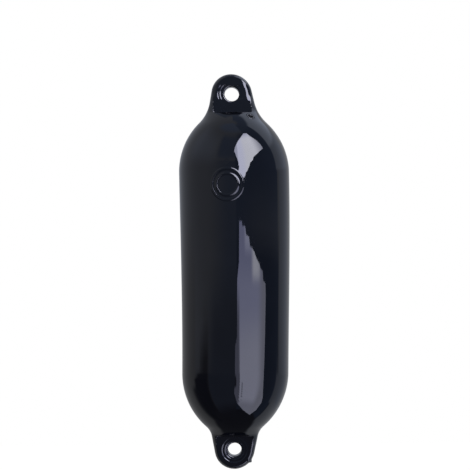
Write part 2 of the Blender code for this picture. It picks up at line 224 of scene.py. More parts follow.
SURROUND_LIGHT = [
    ((-400, 400), (-100, 100), (1, 1), 0.05, 1.1),
    ((-400, 400), (-6, 120), (1, 4), 0.40, 1.2),
    ((-34, 30), (-12, 20), (56, 5), 0.26, 1.8),
    ((-56, 30), (-12, -3.4), (30, 2.5), 0.19, 1.5),
    ((-400, -110), (-58, -2), (16, 8), 0.31, 1.05),
    ((-400, -96), (-17, -2), (10, 8), 0.31, 1.05),
    ((-72, 6), (-120, -5.5), (12, 3), 0.16, 1.7),
    ((-74, -61), (-70, -4.2), (8, 1.0), 0.13, 1.0),
    ((-82, -62), (-70, -4.9), (8, 1.0), 0.08, 1.0),
    ((-90, -63), (-70, -5.6), (8, 1.0), 0.04, 1.0),
    ((-99, -66), (-70, -8.4), (10, 3.2), 0.03, 1.0),
    ((-90, 106), (-120, -54), (20, 26), 0.05, 1.1),
    ((-112, -40), (20, 54), (30, 28), 0.57, 1.35),
    ((-36, 20), (24, 62), (14, 14), 0.31, 1.9),
    ((-90, 60), (70, 120), (40, 10), 0.44, 1.8),
    ((40, 185), (62, 84), (14, 8), 0.26, 2.0),
    ((-400, -146), (50, 72), (8, 8), 0.24, 1.7),
    ((150, 400), (50, 72), (8, 8), 0.25, 1.8),
    ((3, 101), (-1, 44), (3, 12), 0.19, 2.2),
    ((16, 101), (38, 66), (24, 12), 0.19, 2.2),
    ((3, 104), (-60, -1), (3, 3), 0.13, 2.2),
    ((106.5, 172), (-58, 30), (3, 5), 0.46, 1.35),
    ((99, 172), (-36, -7), (5, 3), 0.40, 1.35),
    ((109, 172), (-60, -30), (10, 8), 0.46, 1.2),
    ((98, 172), (6, 34), (3, 4), 0.58, 1.4),
    ((142, 172), (-58, 34), (24, 4), 0.44, 1.1),
    ((97, 160), (32, 68), (4, 6), 1.00, 1.4),
]


def smoothstep(value):
    """Nought below 0, one above 1, and a smooth rise between them."""
    value = min(max(value, 0.0), 1.0)
    return value * value * (3 - 2 * value)


def value_at(pairs, place):
    """A value that changes smoothly from one given place to the next."""
    value = pairs[0][1]
    for (start, before), (finish, after) in zip(pairs, pairs[1:]):
        value += (after - before) * smoothstep((place - start) / (finish - start))
    return value


def rounded_minimum(first, second, rounding):
    """The smaller of two heights, with the edge where they cross rounded off."""
    near = max(rounding - abs(first - second), 0.0) / rounding
    return min(first, second) - near * near * rounding / 4


def bowed(across, along, up):
    """A point of the shell, moved aside by a slight bow that is greatest above the middle."""
    share = -up / EYE_SPACING
    lean = 1 + BOW_LEAN * (1 - 2 * share)
    return Vector((across + BARREL_BOW * 4 * share * (1 - share) * lean, along, up))


class Outline:
    """Half outline of one end: a straight neck that flares, a hollow fillet, then a dome."""

    def __init__(self, radius, flare, fillet, dome, barrel, shoulder):
        self.radius = radius
        self.flare = flare
        self.fillet = fillet
        self.dome = dome
        self.barrel = barrel
        self.shoulder = shoulder
        self.dome_centre = Vector((shoulder, barrel - dome))
        down_neck = Vector((math.cos(flare), math.sin(flare)))
        outward = Vector((-math.sin(flare), math.cos(flare)))
        start = (radius + fillet) * outward
        from_dome = start - self.dome_centre
        middle = from_dome.dot(down_neck)
        rest = from_dome.length_squared - (dome + fillet) ** 2
        self.fillet_centre = start - (middle + math.sqrt(middle * middle - rest)) * down_neck
        self.fillet_start = (self.fillet_centre - fillet * outward).x
        to_fillet = (self.fillet_centre - self.dome_centre).normalized()
        self.fillet_end = (self.dome_centre + dome * to_fillet).x
        self.rim_end = -radius * math.sin(flare)

    def half(self, drop):
        """Half width, or half depth, of the end at a drop."""
        if drop < self.fillet_start:
            return (self.radius + drop * math.sin(self.flare)) / math.cos(self.flare)
        if drop < self.fillet_end:
            aside = drop - self.fillet_centre.x
            return self.fillet_centre.y - math.sqrt(self.fillet**2 - aside**2)
        if drop < self.shoulder:
            aside = drop - self.shoulder
            return self.dome_centre.y + math.sqrt(self.dome**2 - aside**2)
        return self.barrel


class End:
    """One end of the shell, from its eye to the shoulder where the barrel starts."""

    def __init__(self, height, upward, eye, ledge, outline, barrel):
        self.height = height
        self.upward = upward
        self.hole, inner_step, outer_step, rim_width, self.pocket = eye
        self.steps = (inner_step, outer_step)
        steps_end = self.hole + outer_step + OUTER_STEP_MARGIN
        ledge_room, ledge_depth = ledge
        dome, fillet, flare = outline
        self.ledge = steps_end + ledge_room
        self.eye = steps_end + rim_width
        slope = math.acos(1 - (barrel - ledge_depth) / dome)
        self.shoulder = self.ledge + dome * math.sin(slope)
        self.fillet = min(LEDGE_FILLET, ledge_room)
        self.width = Outline(self.eye, flare, fillet, dome, barrel, self.shoulder)
        self.depth = Outline(EYE_HALF_DEPTH, 0.0, EYE_DEPTH_FILLET, dome, barrel, self.shoulder)

    def place(self, across, along, drop):
        """A point of this end, bowed as the whole moulding is."""
        return bowed(across, along, self.height - self.upward * drop)

    def drop_at(self, up):
        """How far a height is from this end's hole, towards the barrel."""
        return (self.height - up) * self.upward

    def eye_reach(self, angle):
        """Radius of the eye's edge, with the moulding nib on the bottom one."""
        if self.upward > 0:
            return self.eye
        away = (angle - NIB_ANGLE) * self.eye / NIB_WIDTH
        return self.eye + NIB_HEIGHT * math.exp(-away * away)

    def envelope(self, across, drop):
        """Half depth of the neck and eye before the tongue's two faces are let in."""
        if drop > self.width.rim_end:
            share = abs(across) / self.width.half(drop)
            full = self.depth.half(drop)
        else:
            share = math.hypot(across, drop) / self.eye_reach(math.atan2(-drop, across))
            full = EYE_HALF_DEPTH
        return full * math.sqrt(max(1 - share * share, 0.0))

    def tongue_face(self, across, drop):
        """Half depth of the tongue's face, which steps down twice towards the hole."""
        radius = math.hypot(across, drop)
        half = TONGUE_THICKNESS / 2
        height = STEP_HEIGHT * self.step_share(drop)
        for step in self.steps:
            outside = (radius - self.hole - step) / STEP_RUN + 0.5
            half -= height * (1 - smoothstep(outside))
        into_lip = min(HOLE_LIP - (radius - self.hole), HOLE_LIP)
        if into_lip > 0:
            half -= HOLE_LIP - math.sqrt(HOLE_LIP**2 - into_lip**2)
        if self.upward > 0:
            out = abs(across) - SIDE_BEVEL_START - SIDE_BEVEL_LEAN * drop
            half -= SIDE_BEVEL_SLOPE * max(out, 0.0) * value_at(TOP_SIDE_BEVEL_FULL, drop)
        beyond = smoothstep((abs(across) - self.pocket_wall(drop)) / POCKET_SLOPE + 0.5)
        return half + (self.depth.half(self.ledge) - half) * beyond

    def step_share(self, drop):
        """How full the steps are: they fade towards the ledge, and at the top eye's tip."""
        return value_at(TOP_STEPS_FULL if self.upward > 0 else BOTTOM_STEPS_FULL, drop)

    def rounding_at(self, drop):
        """Rounding of the rim: fine at the tip and broader beside the hole."""
        return value_at(TOP_RIM_ROUNDINGS if self.upward > 0 else BOTTOM_RIM_ROUNDINGS, drop)

    def pocket_wall(self, drop):
        """Where the pocket's side wall stands, with the corner rounded where it meets the ledge."""
        into_corner = min(max(POCKET_CORNER - (self.ledge - drop), 0.0), POCKET_CORNER)
        return self.pocket - POCKET_CORNER + math.sqrt(POCKET_CORNER**2 - into_corner**2)

    def chamfer(self, across, drop):
        """Half depth of the steep bevel along the top eye's edge, which runs out at both ends."""
        if drop > self.width.rim_end:
            room = self.width.half(drop) - abs(across)
        else:
            room = self.eye - math.hypot(across, drop)
        return value_at(TOP_BEVEL_FOOT, drop) + CHAMFER_SLOPE * room

    def flat_depth(self, across, drop):
        """Half depth of the eye, from its faces, its edge and its bevels."""
        outer = self.envelope(across, drop)
        if self.upward > 0:
            outer = rounded_minimum(outer, self.chamfer(across, drop), EDGE_ROUNDING)
        return rounded_minimum(outer, self.tongue_face(across, drop), self.rounding_at(drop))

    def half_depth(self, across, drop):
        """Half depth of the eye, with a small fillet where its face runs into the ledge."""
        flat = self.flat_depth(across, drop)
        step = self.depth.half(self.ledge) * self.side_share(across) - flat
        radius = min(self.fillet, max(step, 0.0) / LEDGE_FILLET_PARTS)
        away = self.ledge - drop
        if radius <= 0 or away >= radius:
            return flat
        return flat + radius - math.sqrt(radius**2 - (radius - away) ** 2)

    def side_share(self, across):
        """Share of the ledge's full depth that is left towards its sides."""
        share = across / self.width.half(self.ledge)
        return math.sqrt(max(1 - share * share, 0.0))

    def wall_radii(self, angle, start, reach):
        """Where a ray from the hole's centre meets the foot and the top of the pocket's wall."""
        lean = max(abs(math.cos(angle)), WALL_LEAN_LIMIT)
        foot = (self.pocket - POCKET_SLOPE / 2) / lean
        top = (self.pocket + POCKET_SLOPE / 2) / lean
        room = reach - start
        return min(foot, start + WALL_FOOT_LIMIT * room), min(top, start + WALL_TOP_LIMIT * room)

    def step_radii(self):
        """Radii of the rows round the hole: the lip, then both steps."""
        radii = []
        for row in range(LIP_ROWS + 1):
            turn = math.pi / 2 * row / LIP_ROWS
            radii.append(self.hole + HOLE_LIP * (1 - math.cos(turn)))
        radii.append(radii[-1] + SUPPORT_GAP)
        for step in self.steps:
            radii.append(self.hole + step - STEP_RUN / 2 - SUPPORT_GAP)
            for row in range(STEP_ROWS + 1):
                radii.append(self.hole + step + (row / STEP_ROWS - 0.5) * STEP_RUN)
            radii.append(radii[-1] + SUPPORT_GAP)
        return radii


def shell_ends():
    """The top and the bottom end, from their sizes."""
    top = End(
        0.0, 1,
        eye=(
            TOP_HOLE_RADIUS, TOP_INNER_STEP, TOP_OUTER_STEP,
            TOP_RIM_WIDTH, TOP_POCKET_HALF_WIDTH,
        ),
        ledge=(TOP_LEDGE_ROOM, TOP_LEDGE_HALF_DEPTH),
        outline=(TOP_DOME_RADIUS, TOP_NECK_FILLET, TOP_FLARE),
        barrel=BARREL_TOP_RADIUS,
    )
    bottom = End(
        -EYE_SPACING, -1,
        eye=(
            BOTTOM_HOLE_RADIUS, BOTTOM_INNER_STEP, BOTTOM_OUTER_STEP,
            BOTTOM_RIM_WIDTH, BOTTOM_POCKET_HALF_WIDTH,
        ),
        ledge=(BOTTOM_LEDGE_ROOM, BOTTOM_LEDGE_HALF_DEPTH),
        outline=(BOTTOM_DOME_RADIUS, BOTTOM_NECK_FILLET, BOTTOM_FLARE),
        barrel=BARREL_BOTTOM_RADIUS,
    )
    return top, bottom


def skin(ends, angle, up):
    """A point of the outer surface between the two ledges."""
    top, bottom = ends
    if top.drop_at(up) < top.shoulder:
        end = top
    elif bottom.drop_at(up) < bottom.shoulder:
        end = bottom
    else:
        start = -top.shoulder
        finish = bottom.height + bottom.shoulder
        narrowing = smoothstep((up - start) / (finish - start))
        radius = BARREL_TOP_RADIUS + (BARREL_BOTTOM_RADIUS - BARREL_TOP_RADIUS) * narrowing
        return bowed(radius * math.cos(angle), radius * math.sin(angle), up)
    drop = end.drop_at(up)
    wide = end.width.half(drop) * math.cos(angle)
    return end.place(wide, end.depth.half(drop) * math.sin(angle), drop)


def skin_normal(ends, angle, up):
    """Direction straight out of the outer surface, from four points close by."""
    around = skin(ends, angle + SKIN_NUDGE, up) - skin(ends, angle - SKIN_NUDGE, up)
    above = skin(ends, angle, up + SKIN_NUDGE) - skin(ends, angle, up - SKIN_NUDGE)
    return around.cross(above).normalized()


def column_angle(column):
    """Angle of a column of the grid, from the right, round by the back."""
    return 2 * math.pi * column / COLUMNS


def join_rows(mesh, first, second, closed=True):
    """Faces between two rows of points. Where both rows share a point, a face loses a corner."""
    count = len(first)
    for index in range(count if closed else count - 1):
        after = (index + 1) % count
        corners = []
        for vert in (first[index], second[index], second[after], first[after]):
            if vert not in corners:
                corners.append(vert)
        if len(corners) > 2:
            mesh.faces.new(corners)


def ledge_rows(mesh, end):
    """Rows of the rounded ledge, from its foot against the tongue to its outer edge."""
    wide = end.width.half(end.ledge)
    deep = end.depth.half(end.ledge)
    rows = [[] for row in range(LEDGE_ROWS + 2)]
    for column in range(COLUMNS):
        angle = column_angle(column)
        side = math.copysign(1.0, math.sin(angle))
        across = wide * math.cos(angle)
        outer = deep * abs(math.sin(angle))
        inner = end.half_depth(across, end.ledge)
        rounding = min(LEDGE_ROUNDING, max(outer - inner, 0.0) / 2)
        rows[0].append(mesh.verts.new(end.place(across, side * inner, end.ledge)))
        for row in range(LEDGE_ROWS + 1):
            turn = math.pi / 2 * row / LEDGE_ROWS
            drop = end.ledge + rounding * (1 - math.cos(turn))
            wider = end.width.half(drop) * math.cos(angle)
            deeper = end.depth.half(drop) * abs(math.sin(angle)) - rounding * (1 - math.sin(turn))
            deeper = max(deeper, inner)
            rows[row + 1].append(mesh.verts.new(end.place(wider, side * deeper, drop)))
    return rows


def rim_outline(end):
    """Points of the eye's edge, from the right end of the ledge round to the left one."""
    side = []
    for point in range(1, RIM_SIDE_POINTS):
        drop = end.ledge + (end.width.rim_end - end.ledge) * point / RIM_SIDE_POINTS
        side.append((end.width.half(drop), drop))
    arc = []
    for point in range(RIM_ARC_POINTS + 1):
        angle = end.width.flare + (math.pi - 2 * end.width.flare) * point / RIM_ARC_POINTS
        reach = end.eye_reach(angle)
        arc.append((reach * math.cos(angle), -reach * math.sin(angle)))
    other_side = [(-across, drop) for across, drop in reversed(side)]
    return side + arc + other_side


def eye_face(mesh, end, facing, boundary):
    """One face of an eye, in rows from the hole's edge out to the boundary points."""
    rays = []
    for across, drop, vert in boundary:
        angle = math.atan2(-drop, across)
        reach = math.hypot(across, drop)
        radii = end.step_radii()
        start = radii[-1]
        foot, top = end.wall_radii(angle, start, reach)
        for row in range(1, RIM_ROWS + 1):
            radii.append(start + (foot - start) * math.sin(math.pi / 2 * row / RIM_ROWS))
        for row in range(1, WALL_ROWS + 1):
            radii.append(foot + (top - foot) * row / WALL_ROWS)
        for row in range(1, OUTSIDE_ROWS):
            radii.append(top + (reach - top) * math.sin(math.pi / 2 * row / OUTSIDE_ROWS))
        ray = []
        for radius in radii:
            x = radius * math.cos(angle)
            y = -radius * math.sin(angle)
            ray.append(mesh.verts.new(end.place(x, facing * end.half_depth(x, y), y)))
        ray.append(vert)
        rays.append(ray)
    for index, ray in enumerate(rays):
        join_rows(mesh, ray, rays[(index + 1) % len(rays)], closed=False)
    return [ray[0] for ray in rays]


def eye_surface(mesh, end, foot):
    """Both faces of an eye and the hole between them, above the ledge's foot."""
    half = COLUMNS // 2
    wide = end.width.half(end.ledge)
    rim = []
    for across, drop in rim_outline(end):
        rim.append((across, drop, mesh.verts.new(end.place(across, 0.0, drop))))
    ledge = [(wide * math.cos(column_angle(i)), end.ledge, vert) for i, vert in enumerate(foot)]
    front = [ledge[0]] + rim + ledge[half:]
    back = [ledge[0]] + rim + ledge[half:0:-1]
    join_rows(mesh, eye_face(mesh, end, -1, front), eye_face(mesh, end, 1, back))


def neck_heights(end, last):
    """Heights of the rows from the ledge down one end, closer together near the ledge."""
    first = end.ledge + LEDGE_ROUNDING
    drops = [first]
    step = NECK_STEP
    while drops[-1] + NECK_LAST_STEPS * step < last:
        drops.append(drops[-1] + step)
        step = min(step * NECK_STEP_GROWTH, CELL)
    return [end.height - end.upward * drop for drop in drops]


def even_heights(first, last, step):
    """Heights of evenly spaced rows, without the last one."""
    count = max(round(abs(last - first) / step), 1)
    return [first + (last - first) * index / count for index in range(count)]


def mark_heights(centre, cells):
    """Heights of the rows that a mark's square hole takes in the grid."""
    reach = cells * CELL / 2
    return [centre + reach - index * CELL for index in range(cells + 1)]


def ridge(radius, rings):
    """Height of the raised rings at a distance from their centre."""
    height = 0.0
    for middle, width, rise in rings:
        across = abs(radius - middle) / (width / 2)
        if across < 1:
            height = max(height, rise * (1 - across**RING_FULLNESS) ** 2)
    return height


def mark_radii(rings, reach):
    """Radii of the rows of a mark, from its middle out to its edge."""
    radii = [0.0]
    for middle, width, _ in sorted(rings):
        inner = middle - width / 2
        gap = inner - radii[-1]
        spaces = max(round(gap / CELL), 1)
        start = radii[-1]
        radii.extend(start + gap * (index + 1) / spaces for index in range(spaces))
        radii.extend(inner + width * (index + 1) / RIDGE_ROWS for index in range(RIDGE_ROWS))
    edge = radii[-1] + (reach - radii[-1]) * MARK_MARGIN_SHARE
    return radii + [edge]


def mark_patch(mesh, ends, up, cells, rings, grid, first_row):
    """Fill a square hole in the grid with rows that run round the mark's centre."""
    half = cells // 2
    left = MARK_COLUMN - half
    right = MARK_COLUMN + half
    last_row = first_row + cells
    loop = [(column, first_row) for column in range(left, right)]
    loop += [(right, row) for row in range(first_row, last_row)]
    loop += [(column, last_row) for column in range(right, left, -1)]
    loop += [(left, row) for row in range(last_row, first_row, -1)]
    middle_angle = column_angle(MARK_COLUMN)
    radii = mark_radii(rings, half * CELL)
    centre = mesh.verts.new(skin(ends, middle_angle, up))
    rays = []
    for column, row in loop:
        across = (column - MARK_COLUMN) * CELL
        above = (first_row + half - row) * CELL
        turn = math.atan2(above, across)
        ray = [centre]
        for radius in radii[1:]:
            angle = middle_angle + radius * math.cos(turn) / BARREL_TOP_RADIUS
            level = up + radius * math.sin(turn)
            point = skin(ends, angle, level)
            point += skin_normal(ends, angle, level) * ridge(radius, rings)
            ray.append(mesh.verts.new(point))
        ray.append(grid[row][column])
        rays.append(ray)
    for index, ray in enumerate(rays):
        join_rows(mesh, ray, rays[(index + 1) % len(rays)], closed=False)


def shell_mesh(ends):
    """The shell's whole outer surface, with the raised marks."""
    top, bottom = ends
    mesh = bmesh.new()
    small = mark_heights(SMALL_MARK_HEIGHT, SMALL_MARK_CELLS)
    large = mark_heights(LARGE_MARK_HEIGHT, LARGE_MARK_CELLS)
    heights = neck_heights(top, top.height - small[0])
    small_row = len(heights)
    heights += small
    large_row = len(heights)
    heights += large
    finish = bottom.height + bottom.shoulder
    heights += even_heights(large[-1], finish, BARREL_STEP)[1:]
    heights += neck_heights(bottom, bottom.shoulder)[::-1]
    grid = []
    for up in heights:
        grid.append([mesh.verts.new(skin(ends, column_angle(i), up)) for i in range(COLUMNS)])
    marks = [
        (small_row, SMALL_MARK_CELLS, SMALL_MARK_HEIGHT, SMALL_MARK_RINGS),
        (large_row, LARGE_MARK_CELLS, LARGE_MARK_HEIGHT, LARGE_MARK_RINGS),
    ]
    for row in range(len(grid) - 1):
        for column in range(COLUMNS):
            inside = False
            for first_row, cells, up, rings in marks:
                across = MARK_COLUMN - cells // 2 <= column < MARK_COLUMN + cells // 2
                inside = inside or (across and first_row <= row < first_row + cells)
            if inside:
                continue
            after = (column + 1) % COLUMNS
            above, below = grid[row], grid[row + 1]
            mesh.faces.new((above[column], below[column], below[after], above[after]))
    for first_row, cells, up, rings in marks:
        mark_patch(mesh, ends, up, cells, rings, grid, first_row)
    for end, row in ((top, grid[0]), (bottom, grid[-1])):
        rows = ledge_rows(mesh, end)
        eye_surface(mesh, end, rows[0])
        for first, second in zip(rows, rows[1:] + [row]):
            join_rows(mesh, first, second)
    loose = [vert for vert in mesh.verts if not vert.link_faces]
    bmesh.ops.delete(mesh, geom=loose, context="VERTS")
    bmesh.ops.remove_doubles(mesh, verts=mesh.verts, dist=SHELL_MERGE_DISTANCE)
    return mesh


def object_from(mesh, name):
    """A scene object from a bmesh, with its faces turned outward."""
    bmesh.ops.recalc_face_normals(mesh, faces=mesh.faces)
    data = bpy.data.meshes.new(name)
    mesh.to_mesh(data)
    mesh.free()
    data.shade_smooth()
    data.set_sharp_from_angle(angle=SHARP_ANGLE)
    made = bpy.data.objects.new(name, data)
    bpy.context.collection.objects.link(made)
    return made


def turned(name, profile):
    """A body turned about Z from a closed profile of radius and height."""
    mesh = bmesh.new()
    verts = [mesh.verts.new((radius, 0.0, up)) for radius, up in profile]
    edges = [mesh.edges.new((verts[i - 1], verts[i])) for i in range(len(verts))]
    bmesh.ops.spin(
        mesh, geom=verts + edges, cent=(0, 0, 0), axis=(0, 0, 1),
        angle=2 * math.pi, steps=VALVE_POINTS, use_merge=True,
    )
    bmesh.ops.remove_doubles(mesh, verts=mesh.verts, dist=VALVE_MERGE_DISTANCE)
    return object_from(mesh, name)


def rounded_corner(centre, radius, start, finish):
    """Profile points of a rounded corner, with angles in degrees."""
    made = []
    for point in range(CORNER_POINTS + 1):
        turn = math.radians(start + (finish - start) * point / CORNER_POINTS)
        made.append((centre[0] + radius * math.cos(turn), centre[1] + radius * math.sin(turn)))
    return made


def valve_frame(end):
    """The frame of the valve: on the dome, with Z straight out of its surface."""
    drop = end.ledge + VALVE_BELOW_LEDGE

    def on_shell(turn, down):
        wide = end.width.half(down) * math.cos(turn)
        return end.place(wide, end.depth.half(down) * math.sin(turn), down)

    centre = on_shell(VALVE_TURN, drop)
    around = on_shell(VALVE_TURN + VALVE_NUDGE, drop) - centre
    down = on_shell(VALVE_TURN, drop + VALVE_NUDGE) - centre
    outward = down.cross(around).normalized()
    level = Vector((0, 0, 1)).cross(outward).normalized()
    upward = outward.cross(level)
    turn = Matrix((level, upward, outward)).transposed().to_4x4()
    return Matrix.Translation(centre) @ turn


def valve_pocket():
    """A cutter for the flange's shallow seat and the socket's hole."""
    seat = FLANGE_RADIUS + SEAT_GAP
    hole = SOCKET_RADIUS + SEAT_GAP
    floor = -FLANGE_THICKNESS - SEAT_GAP
    end = -FLANGE_THICKNESS - SOCKET_LENGTH - SEAT_GAP
    clear = FLANGE_THICKNESS
    profile = [(0, clear), (seat, clear), (seat, floor), (hole, floor), (hole, end), (0, end)]
    return turned("valve_pocket_cutter", profile)


def valve_seat():
    """A flanged bush with rounded edges, counterbored for the plug's head."""
    head = PLUG_HEAD_RADIUS + SEAT_GAP
    bore = PLUG_SHANK_RADIUS + SEAT_GAP
    shelf = -PLUG_RECESS - PLUG_HEAD_THICKNESS - SEAT_GAP
    end = -FLANGE_THICKNESS - SOCKET_LENGTH
    outer = FLANGE_THICKNESS / 2
    inner = FLANGE_THICKNESS / 4
    profile = rounded_corner((head + inner, -inner), inner, 180, 90)
    profile += rounded_corner((FLANGE_RADIUS - outer, -outer), outer, 90, 0)
    profile += [
        (FLANGE_RADIUS, -FLANGE_THICKNESS), (SOCKET_RADIUS, -FLANGE_THICKNESS),
        (SOCKET_RADIUS, end), (bore, end), (bore, shelf), (head, shelf),
    ]
    return turned("valve_seat_rounded", profile)


def valve_plug():
    """A screw plug with a rounded, slotted head that sits just below the flange."""
    top = -PLUG_RECESS
    under = top - PLUG_HEAD_THICKNESS
    end = under - PLUG_SHANK_LENGTH
    edge = PLUG_HEAD_THICKNESS / 4
    chamfer = PLUG_SHANK_RADIUS / 4
    profile = [(0, top)]
    profile += rounded_corner((PLUG_HEAD_RADIUS - edge, top - edge), edge, 90, 0)
    profile += [
        (PLUG_HEAD_RADIUS, under), (PLUG_SHANK_RADIUS, under),
        (PLUG_SHANK_RADIUS, end + chamfer), (PLUG_SHANK_RADIUS - chamfer, end), (0, end),
    ]
    plug = turned("valve_plug_slotted", profile)
    mesh = bmesh.new()
    bmesh.ops.create_cube(mesh, size=1.0)
    slot_length = 3 * PLUG_HEAD_RADIUS
    size = (slot_length, PLUG_SLOT_WIDTH, 2 * PLUG_SLOT_DEPTH)
    bmesh.ops.scale(mesh, vec=size, verts=mesh.verts)
    bmesh.ops.translate(mesh, vec=(0, 0, top), verts=mesh.verts)
    cut(plug, object_from(mesh, "plug_slot_cutter"))
    return plug


def cut(body, cutter):
    """Take one object out of another for good."""
    modifier = body.modifiers.new("cut", "BOOLEAN")
    modifier.operation = "DIFFERENCE"
    modifier.solver = "EXACT"
    modifier.object = cutter
    bpy.context.view_layer.update()
    evaluated = body.evaluated_get(bpy.context.evaluated_depsgraph_get())
    data = bpy.data.meshes.new_from_object(evaluated)
    body.modifiers.clear()
    body.data = data
    data.shade_smooth()
    data.set_sharp_from_angle(angle=SHARP_ANGLE)
    bpy.data.objects.remove(cutter, do_unlink=True)


class Nodes:
    """Short calls for building one material's node tree."""

    def __init__(self, name):
        self.material = bpy.data.materials.new(name)
        self.material.use_nodes = True
        self.tree = self.material.node_tree
        self.shader = self.tree.nodes["Principled BSDF"]
        self.place = self.tree.nodes.new("ShaderNodeTexCoord").outputs["Object"]

    def link(self, source, target):
        """Join an output to an input."""
        self.tree.links.new(source, target)

    def noise(self, scale, detail, roughness=0.5):
        """A noise fixed to the piece, whose scale is about how many waves it has in a metre."""
        node = self.tree.nodes.new("ShaderNodeTexNoise")
        node.inputs["Scale"].default_value = scale
        node.inputs["Detail"].default_value = detail
        node.inputs["Roughness"].default_value = roughness
        self.link(self.place, node.inputs["Vector"])
        return node.outputs["Fac"]

    def spread(self, source, limits, start=0.3, finish=0.7):
        """Map a noise to a range of numbers."""
        node = self.tree.nodes.new("ShaderNodeMapRange")
        node.inputs["From Min"].default_value = start
        node.inputs["From Max"].default_value = finish
        node.inputs["To Min"].default_value = limits[0]
        node.inputs["To Max"].default_value = limits[1]
        self.link(source, node.inputs["Value"])
        return node.outputs["Result"]

    def blend(self, source, colours, start=0.35, finish=0.65):
        """Mix two colours by a noise."""
        node = self.tree.nodes.new("ShaderNodeValToRGB")
        for element, position, colour in zip(node.color_ramp.elements, (start, finish), colours):
            element.position = position
            element.color = (*colour, 1.0)
        self.link(source, node.inputs["Fac"])
        return node.outputs["Color"]

    def bump(self, source, height, under=None):
        """Raise the surface by a noise, up to a height, over another bump or none."""
        node = self.tree.nodes.new("ShaderNodeBump")
        node.inputs["Strength"].default_value = 1.0
        node.inputs["Distance"].default_value = height
        self.link(source, node.inputs["Height"])
        if under is not None:
            self.link(under, node.inputs["Normal"])
        return node.outputs["Normal"]


def vinyl():
    """Glossy navy PVC: slightly uneven colour and gloss, a wavy skin and a fine orange peel."""
    made = Nodes("glossy_navy_vinyl")
    shader = made.shader
    mottle = made.noise(scale=38, detail=4)
    made.link(made.blend(mottle, VINYL_COLOURS), shader.inputs["Base Color"])
    smears = made.noise(scale=60, detail=5, roughness=0.6)
    made.link(made.spread(smears, VINYL_ROUGHNESS), shader.inputs["Roughness"])
    waves = made.bump(made.noise(scale=55, detail=2), VINYL_WAVE_HEIGHT)
    peel = made.bump(made.noise(scale=620, detail=3), VINYL_PEEL_HEIGHT, under=waves)
    made.link(peel, shader.inputs["Normal"])
    shader.inputs["IOR"].default_value = VINYL_IOR
    return made.material


def valve_plastic(name, colours, roughness, shine):
    """Moulded satin plastic with a fine grain."""
    made = Nodes(name)
    shader = made.shader
    shader.inputs["Specular IOR Level"].default_value = shine
    mottle = made.noise(scale=900, detail=3)
    made.link(made.blend(mottle, colours), shader.inputs["Base Color"])
    wear = made.noise(scale=700, detail=3)
    made.link(made.spread(wear, roughness), shader.inputs["Roughness"])
    grain = made.noise(scale=2600, detail=2)
    made.link(made.bump(grain, PLASTIC_GRAIN_HEIGHT), shader.inputs["Normal"])
    return made.material


def direction(azimuth, elevation):
    """Direction from the studio's centre, with 0, 0 towards the camera."""
    turn = math.radians(azimuth)
    lift = math.radians(elevation)
    level = math.cos(lift)
    return Vector((level * math.sin(turn), -level * math.cos(turn), math.sin(lift)))


def light_colour(patches, green, azimuth, elevation):
    """Colour of the light from one direction. Green follows the blueness by its own share."""
    mixed = Vector((0.0, 0.0, 0.0))
    for azimuths, elevations, softness, level, blueness in patches:
        cover = 1.0
        for value, limits, soft in zip((azimuth, elevation), (azimuths, elevations), softness):
            cover *= smoothstep((value - limits[0]) / soft + 0.5)
            cover *= smoothstep((limits[1] - value) / soft + 0.5)
        if cover > 0:
            tint = Vector((1.0, 1.0 + green * (blueness - 1), blueness))
            mixed = mixed.lerp(tint * (len(tint) * level / sum(tint)), cover)
    return mixed


def glow():
    """Light given off by the panels and the surround, as set at each of their points."""
    material = bpy.data.materials.new("studio_glow")
    material.use_nodes = True
    tree = material.node_tree
    tree.nodes.clear()
    colour = tree.nodes.new("ShaderNodeAttribute")
    colour.attribute_name = "light"
    emission = tree.nodes.new("ShaderNodeEmission")
    output = tree.nodes.new("ShaderNodeOutputMaterial")
    tree.links.new(colour.outputs["Color"], emission.inputs["Color"])
    tree.links.new(emission.outputs["Emission"], output.inputs["Surface"])
    return material


def stage_object(name, verts, faces, material):
    """A mesh of the studio, which isn't part of the object."""
    data = bpy.data.meshes.new(name)
    data.from_pydata(verts, [], faces)
    data.materials.append(material)
    made = bpy.data.objects.new(name, data)
    bpy.context.collection.objects.link(made)
    return made


def glowing_object(name, places, faces, distance, patches, green, material):
    """A stage object with its points at the given directions, lit by the patches."""
    verts = [STUDIO_CENTRE + direction(*place) * distance for place in places]
    made = stage_object(name, verts, faces, material)
    made.visible_camera = False
    light = made.data.color_attributes.new("light", "FLOAT_COLOR", "POINT")
    for index, place in enumerate(places):
        light.data[index].color = (*light_colour(patches, green, *place), 1.0)
    return made


def camera_ray(across, down):
    """Direction of the camera's ray through a pixel of the photo."""
    width = VIEW_WIDTH / -CAMERA_PLACE.y / PHOTO_SIZE
    middle = PHOTO_SIZE / 2
    ray = Vector(((across - middle) * width, 1.0, (middle - down) * width))
    return (Matrix.Rotation(CAMERA_ROLL, 3, "Y") @ ray).normalized()


def panel_corner(skin_tree, ends, across, down):
    """Direction from the studio's centre of what the skin mirrors at a pixel of the photo."""
    ray = camera_ray(across, down)
    point = skin_tree.ray_cast(CAMERA_PLACE, ray)[0]
    bow = bowed(0.0, 0.0, point.z).x
    quarter = skin(ends, -math.pi / 2, point.z)
    side = skin(ends, 0.0, point.z)
    angle = math.atan2(point.y / -quarter.y, (point.x - bow) / (side.x - bow))
    mirrored = ray.reflect(skin_normal(ends, angle, point.z))
    start = point - STUDIO_CENTRE
    ahead = start.dot(mirrored)
    reach = math.sqrt(ahead**2 - start.length_squared + PANEL_DISTANCE**2) - ahead
    outward = (start + mirrored * reach).normalized()
    return math.degrees(math.atan2(outward.x, -outward.y)), math.degrees(math.asin(outward.z))


